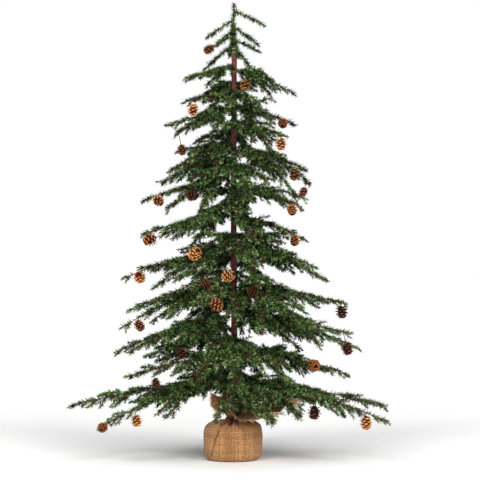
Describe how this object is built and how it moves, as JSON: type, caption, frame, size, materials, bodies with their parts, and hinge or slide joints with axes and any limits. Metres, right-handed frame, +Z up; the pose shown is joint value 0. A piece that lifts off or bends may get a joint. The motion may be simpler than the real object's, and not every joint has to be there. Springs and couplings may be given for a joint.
{
  "type": "artificial tabletop tree",
  "caption": "Slender sparse artificial conifer for a table: bendable wired branches and natural cones on a bare pole, in a weighted base wrapped in gathered burlap.",
  "frame": {"origin": "centre of the flat rest face under the burlap base", "axes": "+Z up along the pole, -Y towards the front of the tree, +X to the right seen from the front"},
  "size_m": [0.6353, 0.5054, 0.914],
  "materials": {
    "burlap": "matte",
    "cement": "matte",
    "wire_tie": "satin",
    "pole": "matte",
    "branch": "matte",
    "cone": "matte"
  },
  "bodies": {
    "base": {"burlap_wrap": "burlap", "cement_weight": "cement", "neck_tie": "wire_tie", "trunk_pole": "pole"},
    "branch_01": {"branch_01_left": "branch"},
    "branch_02": {"branch_02_right": "branch", "cone_01_upper_middle": "cone"},
    "branch_03": {"branch_03_back": "branch"},
    "branch_04": {"branch_04_left": "branch"},
    "branch_05": {"branch_05_front": "branch"},
    "branch_06": {"branch_06_right": "branch", "cone_03_upper_right": "cone"},
    "branch_07": {"branch_07_left": "branch", "cone_02_upper_left": "cone"},
    "branch_08": {"branch_08_front_right": "branch", "cone_04_front_right": "cone"},
    "branch_09": {"branch_09_back": "branch"},
    "branch_10": {"branch_10_left_front": "branch"},
    "branch_11": {"branch_11_right": "branch", "cone_05_right": "cone"},
    "branch_12": {"branch_12_left_back": "branch"},
    "branch_13": {"branch_13_front": "branch"},
    "branch_14": {"branch_14_left": "branch"},
    "branch_15": {"branch_15_right_front": "branch"},
    "branch_16": {"branch_16_back": "branch"},
    "branch_17": {"branch_17_front_left": "branch"},
    "branch_18": {"branch_18_left": "branch", "cone_06_left": "cone"},
    "branch_19": {"branch_19_right": "branch", "cone_07_right": "cone"},
    "branch_20": {"branch_20_front": "branch"},
    "branch_21": {"branch_21_right_front": "branch"},
    "branch_22": {"branch_22_left": "branch", "cone_08_middle_left": "cone", "cone_09_left": "cone"},
    "branch_23": {"branch_23_back": "branch"},
    "branch_24": {"branch_24_front_left": "branch", "cone_10_middle": "cone", "cone_11_front_left": "cone"},
    "branch_25": {"branch_25_left": "branch", "cone_13_left": "cone"},
    "branch_26": {"branch_26_right": "branch", "cone_12_right": "cone"},
    "branch_27": {"branch_27_front_right": "branch"},
    "branch_28": {"branch_28_back": "branch"},
    "branch_29": {"branch_29_right": "branch"},
    "branch_30": {"branch_30_left": "branch"},
    "branch_31": {"branch_31_back_left": "branch"},
    "branch_32": {"branch_32_front": "branch"},
    "branch_33": {"branch_33_right_back": "branch", "cone_14_lower_right": "cone"},
    "branch_34": {"branch_34_left": "branch"},
    "branch_35": {"branch_35_back": "branch"},
    "branch_36": {"branch_36_left": "branch", "cone_15_lower_left": "cone"},
    "branch_37": {"branch_37_right": "branch", "cone_16_lower_right": "cone", "cone_17_far_right": "cone"},
    "branch_38": {"branch_38_front": "branch"},
    "leader": {"leader_tip": "branch"}
  },
  "joints": [
    {"name": "branch_01_bend", "type": "hinge", "parent": "base", "child": "branch_01", "pos_m": [-0.00758, -0.00161, 0.786], "axis": [-0.2079, 0.9781, 0], "range_deg": [-15, 55]},
    {"name": "branch_02_bend", "type": "hinge", "parent": "base", "child": "branch_02", "pos_m": [0.00768, -0.00108, 0.778], "axis": [-0.1392, -0.9903, 0], "range_deg": [-10, 55]},
    {"name": "branch_03_bend", "type": "hinge", "parent": "base", "child": "branch_03", "pos_m": [-0.00068, 0.00777, 0.757], "axis": [0.9962, 0.0872, 0], "range_deg": [-15, 55]},
    {"name": "branch_04_bend", "type": "hinge", "parent": "base", "child": "branch_04", "pos_m": [-0.00725, 0.00293, 0.744], "axis": [0.3746, 0.9272, 0], "range_deg": [-15, 55]},
    {"name": "branch_05_bend", "type": "hinge", "parent": "base", "child": "branch_05", "pos_m": [-0.00109, -0.00775, 0.735], "axis": [-0.9903, 0.1392, 0], "range_deg": [-15, 55]},
    {"name": "branch_06_bend", "type": "hinge", "parent": "base", "child": "branch_06", "pos_m": [0.00757, 0.00217, 0.708], "axis": [0.2756, -0.9613, 0], "range_deg": [-15, 50]},
    {"name": "branch_07_bend", "type": "hinge", "parent": "base", "child": "branch_07", "pos_m": [-0.0072, -0.00321, 0.7], "axis": [-0.4067, 0.9135, 0], "range_deg": [-15, 47]},
    {"name": "branch_08_bend", "type": "hinge", "parent": "base", "child": "branch_08", "pos_m": [0.00531, -0.00589, 0.674], "axis": [-0.7431, -0.6691, 0], "range_deg": [-15, 55]},
    {"name": "branch_09_bend", "type": "hinge", "parent": "base", "child": "branch_09", "pos_m": [-0.00111, 0.00787, 0.664], "axis": [0.9903, 0.1392, 0], "range_deg": [-15, 45]},
    {"name": "branch_10_bend", "type": "hinge", "parent": "base", "child": "branch_10", "pos_m": [-0.00647, -0.0047, 0.633], "axis": [-0.5878, 0.809, 0], "range_deg": [-15, 52]},
    {"name": "branch_11_bend", "type": "hinge", "parent": "base", "child": "branch_11", "pos_m": [0.00788, -0.00139, 0.626], "axis": [-0.1736, -0.9848, 0], "range_deg": [-15, 40]},
    {"name": "branch_12_bend", "type": "hinge", "parent": "base", "child": "branch_12", "pos_m": [-0.00674, 0.00438, 0.606], "axis": [0.5446, 0.8387, 0], "range_deg": [-15, 55]},
    {"name": "branch_13_bend", "type": "hinge", "parent": "base", "child": "branch_13", "pos_m": [0.00126, -0.00797, 0.59], "axis": [-0.9877, -0.1564, 0], "range_deg": [-15, 55]},
    {"name": "branch_14_bend", "type": "hinge", "parent": "base", "child": "branch_14", "pos_m": [-0.00808, -0.00056, 0.568], "axis": [-0.0698, 0.9976, 0], "range_deg": [-15, 47]},
    {"name": "branch_15_bend", "type": "hinge", "parent": "base", "child": "branch_15", "pos_m": [0.00674, -0.00454, 0.553], "axis": [-0.5592, -0.829, 0], "range_deg": [-15, 55]},
    {"name": "branch_16_bend", "type": "hinge", "parent": "base", "child": "branch_16", "pos_m": [0.00099, 0.00809, 0.54], "axis": [0.9925, -0.1219, 0], "range_deg": [-15, 55]},
    {"name": "branch_17_bend", "type": "hinge", "parent": "base", "child": "branch_17", "pos_m": [-0.00372, -0.0073, 0.514], "axis": [-0.891, 0.454, 0], "range_deg": [-15, 55]},
    {"name": "branch_18_bend", "type": "hinge", "parent": "base", "child": "branch_18", "pos_m": [-0.00798, 0.00199, 0.492], "axis": [0.2419, 0.9703, 0], "range_deg": [-15, 20]},
    {"name": "branch_19_bend", "type": "hinge", "parent": "base", "child": "branch_19", "pos_m": [0.00817, 0.001, 0.487], "axis": [0.1219, -0.9925, 0], "range_deg": [-15, 55]},
    {"name": "branch_20_bend", "type": "hinge", "parent": "base", "child": "branch_20", "pos_m": [0.00186, -0.00808, 0.452], "axis": [-0.9744, -0.225, 0], "range_deg": [-15, 55]},
    {"name": "branch_21_bend", "type": "hinge", "parent": "base", "child": "branch_21", "pos_m": [0.00734, -0.0039, 0.436], "axis": [-0.4695, -0.8829, 0], "range_deg": [-15, 55]},
    {"name": "branch_22_bend", "type": "hinge", "parent": "base", "child": "branch_22", "pos_m": [-0.00828, -0.00087, 0.427], "axis": [-0.1045, 0.9945, 0], "range_deg": [-15, 12]},
    {"name": "branch_23_bend", "type": "hinge", "parent": "base", "child": "branch_23", "pos_m": [0.00173, 0.00816, 0.42], "axis": [0.9781, -0.2079, 0], "range_deg": [-15, 37]},
    {"name": "branch_24_bend", "type": "hinge", "parent": "base", "child": "branch_24", "pos_m": [-0.00315, -0.0078, 0.378], "axis": [-0.9272, 0.3746, 0], "range_deg": [-15, 42]},
    {"name": "branch_25_bend", "type": "hinge", "parent": "base", "child": "branch_25", "pos_m": [-0.00812, 0.00233, 0.352], "axis": [0.2756, 0.9613, 0], "range_deg": [-15, 22]},
    {"name": "branch_26_bend", "type": "hinge", "parent": "base", "child": "branch_26", "pos_m": [0.00833, 0.00147, 0.349], "axis": [0.1736, -0.9848, 0], "range_deg": [-10, 37]},
    {"name": "branch_27_bend", "type": "hinge", "parent": "base", "child": "branch_27", "pos_m": [0.00555, -0.00639, 0.345], "axis": [-0.7547, -0.6561, 0], "range_deg": [-15, 52]},
    {"name": "branch_28_bend", "type": "hinge", "parent": "base", "child": "branch_28", "pos_m": [-0.00262, 0.00807, 0.33], "axis": [0.9511, 0.309, 0], "range_deg": [-15, 30]},
    {"name": "branch_29_bend", "type": "hinge", "parent": "base", "child": "branch_29", "pos_m": [0.00833, -0.00192, 0.29], "axis": [-0.225, -0.9744, 0], "range_deg": [-14, 20]},
    {"name": "branch_30_bend", "type": "hinge", "parent": "base", "child": "branch_30", "pos_m": [-0.00856, -0.00015, 0.286], "axis": [-0.0175, 0.9998, 0], "range_deg": [-15, 17]},
    {"name": "branch_31_bend", "type": "hinge", "parent": "base", "child": "branch_31", "pos_m": [-0.00618, 0.00597, 0.262], "axis": [0.6947, 0.7193, 0], "range_deg": [-15, 55]},
    {"name": "branch_32_bend", "type": "hinge", "parent": "base", "child": "branch_32", "pos_m": [0.0003, -0.00861, 0.248], "axis": [-0.9994, -0.0349, 0], "range_deg": [-15, 50]},
    {"name": "branch_33_bend", "type": "hinge", "parent": "base", "child": "branch_33", "pos_m": [0.00644, 0.0058, 0.222], "axis": [0.6691, -0.7431, 0], "range_deg": [-14, 12]},
    {"name": "branch_34_bend", "type": "hinge", "parent": "base", "child": "branch_34", "pos_m": [-0.00834, -0.00239, 0.214], "axis": [-0.2756, 0.9613, 0], "range_deg": [-14, 22]},
    {"name": "branch_35_bend", "type": "hinge", "parent": "base", "child": "branch_35", "pos_m": [-0.0003, 0.00873, 0.176], "axis": [0.9994, 0.0349, 0], "range_deg": [-8, 55]},
    {"name": "branch_36_bend", "type": "hinge", "parent": "base", "child": "branch_36", "pos_m": [-0.00871, 0.00092, 0.161], "axis": [0.1045, 0.9945, 0], "range_deg": [-2, 17]},
    {"name": "branch_37_bend", "type": "hinge", "parent": "base", "child": "branch_37", "pos_m": [0.00875, 0.00046, 0.158], "axis": [0.0523, -0.9986, 0], "range_deg": [-4, 10]},
    {"name": "branch_38_bend", "type": "hinge", "parent": "base", "child": "branch_38", "pos_m": [0.00314, -0.00819, 0.152], "axis": [-0.9336, -0.3584, 0], "range_deg": [-12, 55]},
    {"name": "leader_bend", "type": "hinge", "parent": "base", "child": "leader", "pos_m": [0, 0, 0.8172], "axis": [0, -1, 0], "range_deg": [-25, 25]}
  ]
}
